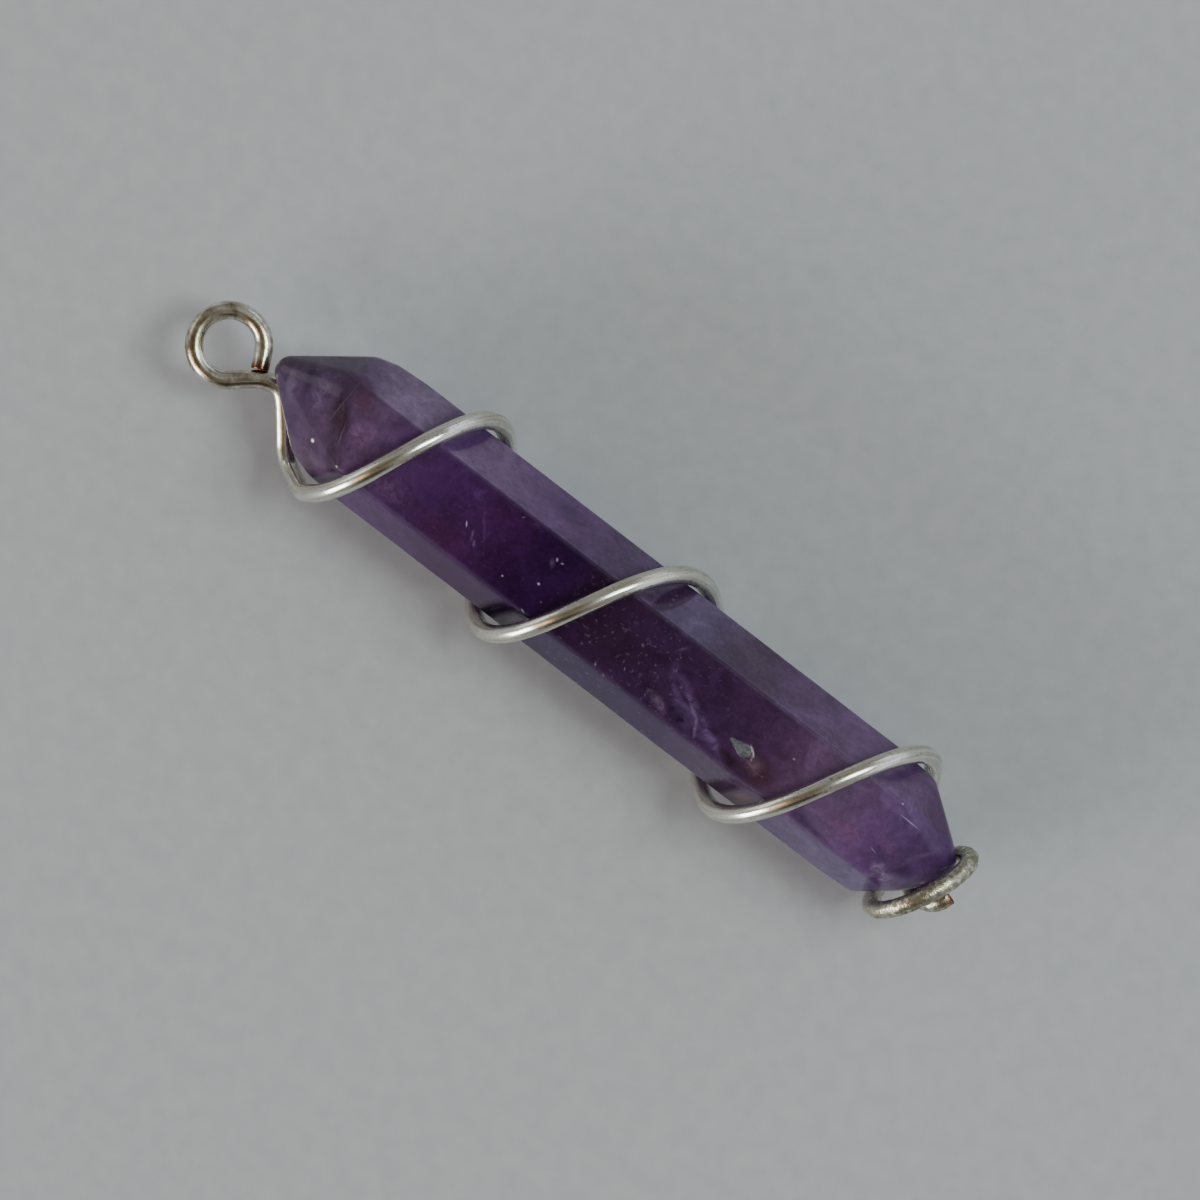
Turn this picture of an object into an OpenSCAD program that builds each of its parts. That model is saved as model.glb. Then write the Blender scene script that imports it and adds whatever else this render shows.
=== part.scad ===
// Amethyst pendant, lying on its side: a polished double-ended amethyst point held in a
// spiral cage of round wire, with an eye at its upper end for a jump ring, bail or cord.
// +X runs along the stone from the eye to the foot, +Y across it and +Z up, in millimetres.
// Places along the stone are measured from its upper tip, and heights from the cage's axis.

/* [Stone] */
// Length of the stone from tip to tip
stone_len = 45.3; // [43:0.1:47]
// Width of the stone across opposite corners
stone_w = 7.86; // [7.4:0.02:7.9]
// Radius of the tumbled edges
edge_r = 0.5; // [0.3:0.05:0.7]
// Radius of the blunt upper tip
upper_tip_r = 0.92; // [0.6:0.02:1.1]
// Radius of the blunt ridge that ends the lower tip
lower_tip_r = 1.55; // [1.2:0.05:1.6]
// Drop of the stone below the cage's axis, until it lies on the lower passes
stone_drop = 0.08; // [0.04:0.01:0.1]

/* [Wire] */
// Diameter of the wire
wire_d = 1; // [0.8:0.05:1]
// Radius from the cage's axis to the middle of the wire, at the sides
cage_r = 4.68; // [4.66:0.02:5]
// Height from the cage's axis to the middle of the wire, where it passes over the stone
cage_rise = 4.5; // [4.48:0.02:5]
// Depth at which the passes under the stone start to flatten
flat_start = 4.1; // [4:0.02:4.3]
// Depth of a round pass within which the flattening is complete
flat_end = 4.45; // [4.4:0.02:4.6]
// Sides of the wire's section
wire_sides = 12; // [10:1:16]

/* [Eye] */
// Radius from the eye's middle to the middle of its wire
eye_r = 1.88; // [1.6:0.02:2]
// Place of the eye's middle along the stone
eye_x = -2.65; // [-2.8:0.05:-2.6]
// Offset of the eye's middle to the side
eye_y = -0.88; // [-1:0.02:-0.8]
// Height of the eye's middle
eye_z = -1.5; // [-1.6:0.05:-1.4]

/* [Foot] */
// Distance of the foot coil's middle back from the stone's lower tip
foot_back = 1.05; // [0.95:0.01:1.1]
// Offset of the foot coil's middle to the side
foot_y = -1.1; // [-1.2:0.01:-1]
// Radius from the foot coil's middle to the middle of its wire
foot_r = 2.9; // [2.86:0.01:3]
// Turn of the foot coil from square to the stone, seen from above
foot_turn = 25.4; // [23:0.2:32]
// Lean of the foot coil's upper side away from the stone
foot_lean = 14; // [12:0.5:16]

/* [Hidden] */

// Corners of the prism, seen along +X: angle from +Y towards up, distances of the shoulders
// from their own tips, and how soft the tumbling left them.
// [angle, upper_shoulder, upper_soft, lower_shoulder, lower_soft]
CORNERS = [
    [4, 4.65, 0.8, 4.1, 0.4],
    [63, 4.3, 0.7, 4.6, 0.5],
    [132, 6.15, 0.9, 4.05, 0.5],
    [186, 4.3, 1.2, 4, 0.3],
    [243, 5, 1.1, 4.35, 0.6],
    [304, 4.6, 1, 4.15, 0.6],
];

// Ends of the short ridge at the lower tip: distance back from the tip, and offset to the side.
// [back, side]
RIDGE = [
    [1.55, 0.15],
    [2.75, -1.05],
];

// Neck of the wire, from the eye to the first side turn. [x, y, z]
NECK = [
    [-0.85, -1.8, -1.5],
    [-0.2, -1.3, -1.5],
    [0.55, -1.05, -1.55],
    [1.1, -1.2, -1.65],
    [1.6, -1.65, -1.8],
    [2.45, -2.7, -2.1],
    [3.15, -3.55, -2.3],
    [4.05, -4.2, -1.9],
];

// Side turns of the spiral: angle round the axis, place along the stone as a share of its
// length, and distance from the axis as a share of the cage's radius.
// [angle, along, spread]
TURNS = [
    [180, 0.1135, 1],
    [0, 0.2525, 0.98],
    [-180, 0.3845, 1],
    [-360, 0.554, 0.965],
    [-540, 0.7275, 1.02],
    [-720, 0.8955, 0.955],
    [-900, 0.9495, 0.795],
];

// Curl that ends the foot coil, from below its middle to the cut end: place along the coil's
// width, along its height, and outwards. [across, up, out]
CURL = [
    [0, -2.8, 0.05],
    [-0.6, -2.1, 0.45],
    [-0.5, -1.05, 0.95],
    [-0.15, -0.15, 1.2],
    [0.25, 0.3, 1.3],
    [0.65, 0.45, 1.3],
    [1, 0.4, 1.25],
];

// Rings of the swept wire for each span between two points of its route
rings_per_span = 2;
// Angles between the points that describe the eye, and the spiral and the foot
eye_step = 20;
turn_step = 18;
// Angles at which the eye starts at its cut end and meets the neck
eye_start = 2;
eye_stop = 307;
// How far the cut end springs outwards from the eye's circle, and over what angle
eye_spring = 0.2;
spring_angle = 25;
// Angle round the foot coil at which its curl begins
curl_start = -72;
wire_r = wire_d / 2;
foot_x = stone_len - foot_back;

// Point on a smooth curve through b and c, whose neighbours are a and d
function curve(a, b, c, d, t) =
    b + (c - a) * t / 2
    + (2 * a - 5 * b + 4 * c - d) * t * t / 2
    + (3 * b - a - 3 * c + d) * t * t * t / 2;

// Item i of a list, or the nearest one if i is past an end
function item(list, i) = list[max(0, min(len(list) - 1, i))];

// Row of a table at place u, where a whole number is a row
function between(table, u) =
    let (i = min(floor(u), len(table) - 2))
    curve(item(table, i - 1), table[i], table[i + 1], item(table, i + 2), u - i);

// Height of a point of a round pass after its underside is flattened
function flattened(z) =
    let (
        span = flat_end - flat_start,
        u = max(0, min(1, (-z - flat_start) / span))
    )
    max(z, -flat_start - span * (u - u * u / 2));

// Point of the eye at an angle, with its cut end sprung outwards
function eye_point(a) =
    let (r = eye_r + eye_spring * pow(max(0, 1 - a / spring_angle), 2))
    [eye_x + r * cos(a), eye_y + r * sin(a), eye_z];

// Point of the spiral at place u of its table
function spiral_point(u) =
    let (
        row = between(TURNS, u),
        y = cage_r * row[2] * cos(row[0]),
        rise = sin(row[0]) > 0 ? cage_rise : cage_r
    )
    [stone_len * row[1], y, flattened(rise * row[2] * sin(row[0]))];

// Directions of the foot coil: along its width, along its height, and outwards
foot_across = [sin(foot_turn), cos(foot_turn), 0];
foot_away = [cos(foot_turn), -sin(foot_turn), 0];
foot_up = foot_away * sin(foot_lean) + [0, 0, cos(foot_lean)];
foot_out = foot_away * cos(foot_lean) - [0, 0, sin(foot_lean)];

// Point at a place given in the foot coil's own directions
function foot_point(across, up, out) =
    [foot_x, foot_y, 0] + across * foot_across + up * foot_up + out * foot_out;

// Route of the wire's middle, from the cut end at the eye to the cut end at the foot
turn_share = turn_step / 180;
route = concat(
    [for (a = [eye_start : eye_step : eye_stop]) eye_point(a)],
    NECK,
    [for (u = [0 : turn_share : len(TURNS) - 1 - turn_share]) spiral_point(u)],
    [for (a = [180 : -turn_step : curl_start]) foot_point(foot_r * cos(a), foot_r * sin(a), 0)],
    [for (row = CURL) foot_point(row[0], row[1], row[2])]
);
spans = len(route) - 1;
path = [for (i = [0 : spans * rings_per_span]) between(route, i / rings_per_span)];
last = len(path) - 1;

function unit(v) = v / norm(v);

// Direction of the wire at ring i
function heading(i) = unit(item(path, i + 1) - item(path, i - 1));

// A sideways direction, squared up to a heading
function squared(side, dir) = unit(side - dir * (side * dir));

// Sideways direction of each ring, carried along the wire without twisting
sideways = [
    for (i = 0, s = squared([0, 0, 1], heading(0)); i <= last; i = i + 1, s = squared(s, heading(i))) s
];

// Corners of the wire's rings, one ring after the other
wire_points = [
    for (i = [0 : last])
        for (j = [0 : wire_sides - 1])
            let (a = 360 * j / wire_sides)
            path[i] + wire_r * (cos(a) * sideways[i] + sin(a) * cross(heading(i), sideways[i]))
];

// Number of corner j on ring i
function corner(i, j) = i * wire_sides + j % wire_sides;

// Two triangles for each side of each length of wire, and a flat face at each cut end
wire_faces = concat(
    [[for (j = [0 : wire_sides - 1]) corner(0, j)]],
    [for (i = [0 : last - 1], j = [0 : wire_sides - 1])
        [corner(i, j), corner(i + 1, j), corner(i, j + 1)]],
    [for (i = [0 : last - 1], j = [0 : wire_sides - 1])
        [corner(i, j + 1), corner(i + 1, j), corner(i + 1, j + 1)]],
    [[for (j = [wire_sides - 1 : -1 : 0]) corner(last, j)]]
);

// The box round the wire sets the pendant's middle and the height that it lies at
wire_x = [for (p = wire_points) p[0]];
wire_y = [for (p = wire_points) p[1]];
wire_z = [for (p = wire_points) p[2]];
to_middle = [-(min(wire_x) + max(wire_x)) / 2, -(min(wire_y) + max(wire_y)) / 2, -min(wire_z)];

// Small ball that rounds the stone, at a place along it, an angle round it and a radius
module stone_ball(x, angle, out, r) {
    translate([x, out * cos(angle), out * sin(angle)])
        rotate([0, 90, 0])
            sphere(r = r, $fn = 32);
}

// Two balls that make a soft shoulder where a prism edge turns towards a tip
module soft_shoulder(tip_x, way, corner_angle, shoulder, soft) {
    out = stone_w / 2 - edge_r;
    slope = unit([shoulder, out]);
    stone_ball(tip_x + way * (shoulder - soft * slope[0]), corner_angle, out - soft * slope[1], edge_r);
    stone_ball(tip_x + way * (shoulder + soft), corner_angle, out, edge_r);
}

// Polished double-ended amethyst point
module amethyst_point() {
    color("#4b2c68")
        translate(to_middle - [0, 0, stone_drop])
            hull() {
                stone_ball(upper_tip_r, 0, 0, upper_tip_r);
                for (row = RIDGE)
                    stone_ball(stone_len - row[0], 0, row[1], lower_tip_r);
                for (row = CORNERS) {
                    soft_shoulder(0, 1, row[0], row[1], row[2]);
                    soft_shoulder(stone_len, -1, row[0], row[3], row[4]);
                }
            }
}

// One wire, bent into the eye, the neck, the spiral cage and the foot coil
module wire_cage() {
    color("#c9c2b0")
        translate(to_middle)
            polyhedron(points = wire_points, faces = wire_faces, convexity = 10);
}

amethyst_point();
wire_cage();
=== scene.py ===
import math

import bmesh
import bpy
from mathutils import Matrix, Vector, noise


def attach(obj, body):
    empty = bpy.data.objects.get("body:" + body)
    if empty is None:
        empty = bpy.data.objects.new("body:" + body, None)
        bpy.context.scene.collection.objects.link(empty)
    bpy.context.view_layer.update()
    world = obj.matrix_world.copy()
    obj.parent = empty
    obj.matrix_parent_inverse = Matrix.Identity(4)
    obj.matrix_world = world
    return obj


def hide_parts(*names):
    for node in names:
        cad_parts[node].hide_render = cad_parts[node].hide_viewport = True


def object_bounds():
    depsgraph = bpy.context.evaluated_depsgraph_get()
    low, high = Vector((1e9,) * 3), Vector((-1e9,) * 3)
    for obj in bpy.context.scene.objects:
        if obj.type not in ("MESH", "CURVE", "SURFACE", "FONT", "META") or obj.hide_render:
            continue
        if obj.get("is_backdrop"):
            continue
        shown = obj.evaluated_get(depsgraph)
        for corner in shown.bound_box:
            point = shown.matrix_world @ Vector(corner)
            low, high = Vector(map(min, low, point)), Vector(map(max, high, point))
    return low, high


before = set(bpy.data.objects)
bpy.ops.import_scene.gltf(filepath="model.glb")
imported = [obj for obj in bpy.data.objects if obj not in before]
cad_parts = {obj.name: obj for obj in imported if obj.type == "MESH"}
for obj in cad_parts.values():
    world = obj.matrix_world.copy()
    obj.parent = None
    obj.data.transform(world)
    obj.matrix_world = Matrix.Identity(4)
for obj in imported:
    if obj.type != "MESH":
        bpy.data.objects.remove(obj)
cad_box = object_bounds()

MM = 0.001
# Where the stone's upper tip lies when the pendant's own middle is the origin
UPPER_TIP = Vector((-20.659, 0.094, 4.804))

# Stone: its length, its corners' distance from the axis, and the radii of its edges and tips
STONE_LEN = 45.3
STONE_R = 3.93
EDGE_R = 0.5
UPPER_TIP_R = 0.92
LOWER_TIP_R = 1.55
# Greatest radius of a worn shoulder where it meets its ridge, and radius of the worn ridges
SHOULDER_WORN_R = 1.1
PRISM_WORN_R = 0.45
# Length over which a ridge goes from its worn shoulder to its full sharpness
RIDGE_WEAR = 1.6
# Inward step of a ball on a shoulder and on a ridge, for each millimetre that its radius is
# more than EDGE_R
SHOULDER_STEP = 1.06
RIDGE_STEP = 1.15
# Drop below the cage's axis, until the stone lies on the lower passes
STONE_DROP = 0.08
# Shallow swells left by tumbling: height, and number in a millimetre
SWELL_HEIGHT = 0.016
SWELLS_PER_MM = 0.3

# Wire, and the cage's radius at its sides and height over the stone
WIRE_R = 0.5
CAGE_R = 4.68
CAGE_RISE = 4.5
# Depths at which a pass under the stone starts to flatten, and has flattened
FLAT_START = 4.1
FLAT_END = 4.45

# Eye: middle, radius, and how far its cut end springs outwards, over what angle
EYE = Vector((-2.65, -0.88, -1.5))
EYE_R = 1.88
EYE_SPRING = 0.2
SPRING_ANGLE = 25

# Foot coil: middle, radius, turn seen from above, and lean away from the stone
FOOT = Vector((44.25, -1.1, 0))
FOOT_R = 2.9
FOOT_TURN = math.radians(25.4)
FOOT_LEAN = math.radians(14)

# Corners of the prism: angle round the axis, then the shoulder, its softness and its worn
# radius at the upper end and at the lower end. Tumbling rounded the upper pyramid most.
CORNERS = (
    (4, (4.65, 0.8, 1.7), (4.1, 0.4, 1.0)),
    (63, (4.3, 0.7, 1.7), (4.6, 0.1, 0.5)),
    (132, (6.15, 0.1, 0.5), (4.05, 0.5, 1.0)),
    (186, (4.3, 0.9, 1.2), (4, 0.3, 1.0)),
    (243, (5, 1.1, 1.7), (4.35, 0.6, 1.0)),
    (304, (4.6, 1, 1.7), (4.15, 0.6, 1.0)),
)
# Ends of the short ridge at the lower tip: distance back, and offset to the side
RIDGE = ((1.55, 0.15), (2.75, -1.05))

# Neck of the wire, from the eye to the first side turn
NECK = (
    (-0.85, -1.8, -1.5),
    (-0.2, -1.3, -1.5),
    (0.55, -1.05, -1.55),
    (1.1, -1.2, -1.65),
    (1.6, -1.65, -1.8),
    (2.45, -2.7, -2.1),
    (3.15, -3.55, -2.3),
    (4.05, -4.2, -1.9),
)
# Side turns of the spiral: angle, share of the stone's length, share of the cage's radius
TURNS = (
    (180, 0.1135, 1),
    (0, 0.2525, 0.98),
    (-180, 0.3845, 1),
    (-360, 0.554, 0.965),
    (-540, 0.7275, 1.02),
    (-720, 0.8955, 0.955),
    (-900, 0.9495, 0.795),
)
# Curl that ends the foot coil: across, up and out
CURL = (
    (0, -2.8, 0.05),
    (-0.6, -2.1, 0.45),
    (-0.5, -1.05, 0.95),
    (-0.15, -0.15, 1.2),
    (0.25, 0.3, 1.3),
    (0.65, 0.45, 1.3),
    (1, 0.4, 1.25),
)

# Angles of the points that describe the eye. Its cut end, the first, butts against the neck.
EYE_ANGLES = (-1, *range(22, 308, 20))
# Points that describe each half turn of the spiral
TURN_POINTS = 10
# Angles of the points that describe the foot coil
FOOT_ANGLES = range(180, -73, -18)

# Rings of the bent wire for each span of its route, and fineness of its round section
RINGS_PER_SPAN = 6
SECTION_FINENESS = 10
# Rounded rims of the cut ends
RIM_R = 0.07
RIM_STEPS = 3
# Unevenness left by bending, its waves in a millimetre, and how far it sets the skin back
UNEVENNESS = 0.008
WAVES_PER_MM = 0.7
SKIN_BACK = 0.004
# Length of the worn wire at the foot, and the part of it over which the wear sets in
FOOT_WORN = 21
FOOT_FADE = 3
# Pits and finer dents of the worn wire: depth, and number in a millimetre
PIT_DEPTH = 0.05
PITS_PER_MM = 2.2
DENT_DEPTH = 0.02
DENTS_PER_MM = 5

# Sides and rings of the balls that the stone's skin is wrapped round, and the angle between
# neighbouring faces under which they become one
BALL_SIDES = 48
BALL_RINGS = 24
FLAT_ANGLE = math.radians(0.4)
# Net that the skin is cut into: first angle and turn of the cuts along it, in degrees, and
# distance between the cuts across it
NET_START = 3
NET_TURN = 10
NET_STEP = 0.4
# A cut keeps to corners as near as this, and edges shorter than this are merged away
CUT_TOLERANCE = 1e-5
TOO_SHORT = 2e-4

# Small teardrop chip in the upper face: its pointed end, size and depth
CHIP_TIP = Vector((31.4, -1.2))
CHIP_LENGTH = 1.7
CHIP_HALF_WIDTH = 0.4
CHIP_DEPTH = 0.11
# How far its bowl lies towards its round end, its lean, and the raggedness of its rim
CHIP_FULLNESS = 1.6
CHIP_LEAN = 0.12
CHIP_RAGGED = 0.05
# Steepness of its wall and of its floor at the pointed end
CHIP_WALL = 3
CHIP_RAMP = 4
# Usual depth of its rough floor, and how far that varies, as shares of its depth
CHIP_FLOOR = 0.75
CHIP_ROUGH = 0.5
# Finer net under the chip: its middle, its half size, the cuts to each side of its middle,
# and the half size of the patch of faces that it cuts
CHIP_MIDDLE = CHIP_TIP + Vector((CHIP_LENGTH / 2, -0.05))
CHIP_NET = (1.1, 0.62)
CHIP_CUTS = 18
CHIP_PATCH = (1.3, 0.9)
# Least upward part of the normal on the faces that the chip may sink
FACING_UP = 0.7


def colour(hex_code):
    """Linear colour of an sRGB hex code."""
    parts = [int(hex_code[i : i + 2], 16) / 255 for i in (1, 3, 5)]
    linear = [p / 12.92 if p <= 0.04045 else ((p + 0.055) / 1.055) ** 2.4 for p in parts]
    return (*linear, 1.0)


def add(tree, kind, feeds=None, stops=None, **settings):
    """Adds one node with its settings.

    feeds gives a socket its value or the socket that feeds it, and stops fill a ramp. On a
    Map Range, sockets 1 and 2 are the range read and 3 and 4 the range given. On a Mix,
    sockets 2 and 3 are its two numbers, and 6 and 7 its two colours.
    """
    new = tree.nodes.new(kind)
    for name, value in settings.items():
        setattr(new, name, value)
    for socket, value in (feeds or {}).items():
        if isinstance(value, bpy.types.NodeSocket):
            tree.links.new(value, new.inputs[socket])
        else:
            new.inputs[socket].default_value = value
    if stops:
        elements = new.color_ramp.elements
        elements.remove(elements[1])
        elements[0].position = stops[0][0]
        elements[0].color = colour(stops[0][1])
        for place, shade in stops[1:]:
            elements.new(place).color = colour(shade)
    return new


def new_finish(name):
    """An empty material, its node tree and its shader."""
    material = bpy.data.materials.new(name)
    material.use_nodes = True
    tree = material.node_tree
    return material, tree, tree.nodes["Principled BSDF"]


def place_piece(name, bm, finishes, node):
    """Makes the finished mesh an object in its place, standing for a node of the frame."""
    bmesh.ops.translate(bm, vec=UPPER_TIP, verts=bm.verts)
    bmesh.ops.scale(bm, vec=(MM, MM, MM), verts=bm.verts)
    for face in bm.faces:
        face.smooth = True
    mesh = bpy.data.meshes.new(name)
    bm.to_mesh(mesh)
    bm.free()
    for finish in finishes:
        mesh.materials.append(finish)
    piece = bpy.data.objects.new(name, mesh)
    bpy.context.scene.collection.objects.link(piece)
    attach(piece, "root")
    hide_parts(node)


# Wire

def between(table, u):
    """Row of a table at place u, on a smooth curve through its rows."""
    last = len(table) - 1
    i = min(int(u), last - 1)
    a, b, c, d = (Vector(table[max(0, min(last, k))]) for k in (i - 1, i, i + 1, i + 2))
    t = u - i
    return (
        b
        + (c - a) * t / 2
        + (2 * a - 5 * b + 4 * c - d) * t * t / 2
        + (3 * b - a - 3 * c + d) * t * t * t / 2
    )


def flattened(z):
    """Height of a point of a round pass after its underside is flattened."""
    span = FLAT_END - FLAT_START
    u = max(0, min(1, (-z - FLAT_START) / span))
    return max(z, -FLAT_START - span * (u - u * u / 2))


def eye_point(degrees):
    """Middle of the wire at an angle round the eye, with its cut end sprung outwards."""
    r = EYE_R + EYE_SPRING * max(0, 1 - degrees / SPRING_ANGLE) ** 2
    a = math.radians(degrees)
    return EYE + Vector((r * math.cos(a), r * math.sin(a), 0))


def spiral_point(u):
    """Middle of the wire at place u of the side turns."""
    angle, along, spread = between(TURNS, u)
    a = math.radians(angle)
    rise = CAGE_RISE if math.sin(a) > 0 else CAGE_R
    return Vector(
        (STONE_LEN * along, CAGE_R * spread * math.cos(a), flattened(rise * spread * math.sin(a)))
    )


def foot_point(across, up, out):
    """Point at a place given along the foot coil's width, its height, and outwards."""
    away = Vector((math.cos(FOOT_TURN), -math.sin(FOOT_TURN), 0))
    width = Vector((math.sin(FOOT_TURN), math.cos(FOOT_TURN), 0))
    height = away * math.sin(FOOT_LEAN) + Vector((0, 0, math.cos(FOOT_LEAN)))
    outwards = away * math.cos(FOOT_LEAN) - Vector((0, 0, math.sin(FOOT_LEAN)))
    return FOOT + across * width + up * height + out * outwards


def wire_route():
    """Middle of the wire, ring by ring, from the cut end at the eye to the one at the foot."""
    route = [eye_point(degrees) for degrees in EYE_ANGLES]
    route += [Vector(row) for row in NECK]
    route += [spiral_point(i / TURN_POINTS) for i in range(TURN_POINTS * (len(TURNS) - 1))]
    for degrees in FOOT_ANGLES:
        a = math.radians(degrees)
        route.append(foot_point(FOOT_R * math.cos(a), FOOT_R * math.sin(a), 0))
    route += [foot_point(*row) for row in CURL]
    steps = (len(route) - 1) * RINGS_PER_SPAN
    return [between(route, i / RINGS_PER_SPAN) for i in range(steps + 1)]


def wire_runs(rings):
    """Length of wire from the cut end at the eye to each ring."""
    runs = [0]
    for a, b in zip(rings, rings[1:]):
        runs.append(runs[-1] + (b - a).length)
    return runs


def round_wire(rings):
    """Draws the round wire along its rings, open at both ends."""
    bend = bpy.data.curves.new("wire_bend", "CURVE")
    bend.dimensions = "3D"
    bend.bevel_depth = WIRE_R
    bend.bevel_resolution = SECTION_FINENESS
    line = bend.splines.new("POLY")
    line.points.add(len(rings) - 1)
    for spot, ring in zip(line.points, rings):
        spot.co = (*ring, 1)
    holder = bpy.data.objects.new("wire_bend", bend)
    drawn = bpy.data.meshes.new_from_object(holder)
    bm = bmesh.new()
    bm.from_mesh(drawn)
    bpy.data.objects.remove(holder)
    bpy.data.curves.remove(bend)
    bpy.data.meshes.remove(drawn)
    return bm


def wear_wire(bm, straight, length):
    """Leaves the wire a little uneven, pits its foot, and rubs it flat where it lies on."""
    for vert in bm.verts:
        spot = vert[straight]
        rub = UNEVENNESS * noise.noise(spot * WAVES_PER_MM)
        worn = max(0, min(1, (spot[0] - (length - FOOT_WORN)) / FOOT_FADE))
        pits = min(0, noise.noise(spot * PITS_PER_MM))
        dents = max(0, noise.noise(spot * DENTS_PER_MM))
        rub += worn * (PIT_DEPTH * pits - DENT_DEPTH * dents)
        vert.co += vert.normal * (rub - SKIN_BACK)
        vert.co.z = max(vert.co.z, -UPPER_TIP.z)


def make_wire_cage(finishes):
    """Bends one round wire along its route, rounds its cut ends and wears its foot."""
    rings = wire_route()
    runs = wire_runs(rings)
    bm = round_wire(rings)

    # Each point keeps its place on the straight wire, which the drawing streaks follow
    sides = len(bm.verts) // len(rings)
    straight = bm.verts.layers.float_vector.new("straight")
    bm.verts.ensure_lookup_table()
    for i, run in enumerate(runs):
        for j in range(sides):
            a = 2 * math.pi * j / sides
            bm.verts[i * sides + j][straight] = (run, WIRE_R * math.cos(a), WIRE_R * math.sin(a))

    caps = bmesh.ops.holes_fill(bm, edges=bm.edges[:], sides=0)["faces"]
    bmesh.ops.recalc_face_normals(bm, faces=bm.faces)
    # The cut ends show the copper core
    for cap in caps:
        cap.material_index = 1
    rims = [edge for cap in caps for edge in cap.edges]
    bmesh.ops.bevel(
        bm,
        geom=rims,
        offset=RIM_R,
        segments=RIM_STEPS,
        profile=0.5,
        affect="EDGES",
        material=-1,
    )
    bm.normal_update()
    wear_wire(bm, straight, runs[-1])
    place_piece("wire_cage_bent", bm, finishes, "wire_cage")


# Stone

def stone_balls():
    """Places and radii of the balls whose common skin is the tumbled stone."""
    yield Vector((UPPER_TIP_R, 0, 0)), UPPER_TIP_R
    for back, side in RIDGE:
        yield Vector((STONE_LEN - back, side, 0)), LOWER_TIP_R
    out = STONE_R - EDGE_R
    for degrees, upper, lower in CORNERS:
        a = math.radians(degrees)
        spoke = Vector((0, math.cos(a), math.sin(a)))
        for tip, way, (shoulder, soft, worn_r) in ((0, 1, upper), (STONE_LEN, -1, lower)):
            slope = Vector((shoulder, out)).normalized()
            step = SHOULDER_STEP * (worn_r - EDGE_R)
            x = shoulder - soft * slope.x + step * slope.y
            r = out - soft * slope.y - step * slope.x
            yield Vector((tip + way * x, 0, 0)) + spoke * r, worn_r
            ridge = [(shoulder + soft + RIDGE_WEAR, PRISM_WORN_R)]
            if worn_r > SHOULDER_WORN_R:
                ridge.append((shoulder + soft, SHOULDER_WORN_R))
            for x, radius in ridge:
                r = out - RIDGE_STEP * (radius - EDGE_R)
                yield Vector((tip + way * x, 0, 0)) + spoke * r, radius


def wrap_balls(bm):
    """Wraps one tight skin round the balls."""
    turn = Matrix.Rotation(math.radians(90), 4, "Y")
    for place, radius in stone_balls():
        bmesh.ops.create_uvsphere(
            bm,
            u_segments=BALL_SIDES,
            v_segments=BALL_RINGS,
            radius=radius,
            matrix=Matrix.Translation(place) @ turn,
        )
    bmesh.ops.delete(bm, geom=bm.faces[:] + bm.edges[:], context="EDGES_FACES")
    hull = bmesh.ops.convex_hull(bm, input=bm.verts[:])
    inside = hull["geom_interior"] + hull["geom_unused"]
    spare = {part for part in inside if isinstance(part, bmesh.types.BMVert)}
    bmesh.ops.delete(bm, geom=list(spare), context="VERTS")
    bmesh.ops.dissolve_limit(bm, angle_limit=FLAT_ANGLE, verts=bm.verts[:], edges=bm.edges[:])


def cut(bm, geom, point, normal):
    """Cuts the given part of the skin along a plane, and gives back all of that part."""
    return bmesh.ops.bisect_plane(
        bm, geom=geom, plane_co=point, plane_no=normal, dist=CUT_TOLERANCE
    )["geom"]


def cut_net(bm):
    """Cuts the skin into a net that swells smoothly, and into a finer one under the chip."""
    skin = bm.verts[:] + bm.edges[:] + bm.faces[:]
    for degrees in range(NET_START, 180, NET_TURN):
        a = math.radians(degrees)
        skin = cut(bm, skin, (0, 0, 0), (0, math.cos(a), math.sin(a)))
    for i in range(1, int(STONE_LEN / NET_STEP)):
        skin = cut(bm, skin, (i * NET_STEP, 0, 0), (1, 0, 0))

    patch = set()
    for face in bm.faces:
        off = face.calc_center_median() - CHIP_MIDDLE.to_3d()
        if off.z > 0 and abs(off.x) < CHIP_PATCH[0] and abs(off.y) < CHIP_PATCH[1]:
            patch |= {face, *face.edges, *face.verts}
    patch = list(patch)
    for i in range(-CHIP_CUTS, CHIP_CUTS + 1):
        x = CHIP_MIDDLE.x + CHIP_NET[0] * i / CHIP_CUTS
        y = CHIP_MIDDLE.y + CHIP_NET[1] * i / CHIP_CUTS
        patch = cut(bm, patch, (x, 0, 0), (1, 0, 0))
        patch = cut(bm, patch, (0, y, 0), (0, 1, 0))


def chip_depth(x, y):
    """Depth of the chip at a place, with a ragged rim and a rough floor."""
    t = (x - CHIP_TIP.x) / CHIP_LENGTH
    if not 0 < t < 1:
        return 0
    # The rim and the floor each follow a slice of noise of their own
    rim = noise.noise(Vector((x * 3, y * 3, 7)))
    half = CHIP_HALF_WIDTH * math.sin(math.pi * t**CHIP_FULLNESS) + CHIP_RAGGED * rim
    off = abs(y - CHIP_TIP.y + CHIP_LEAN * t) / max(half, 1e-3)
    if off >= 1:
        return 0
    floor = CHIP_FLOOR + CHIP_ROUGH * noise.noise(Vector((x * 4, y * 4, 3)))
    return CHIP_DEPTH * floor * min(1, CHIP_WALL * (1 - off)) * min(1, CHIP_RAMP * t)


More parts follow.
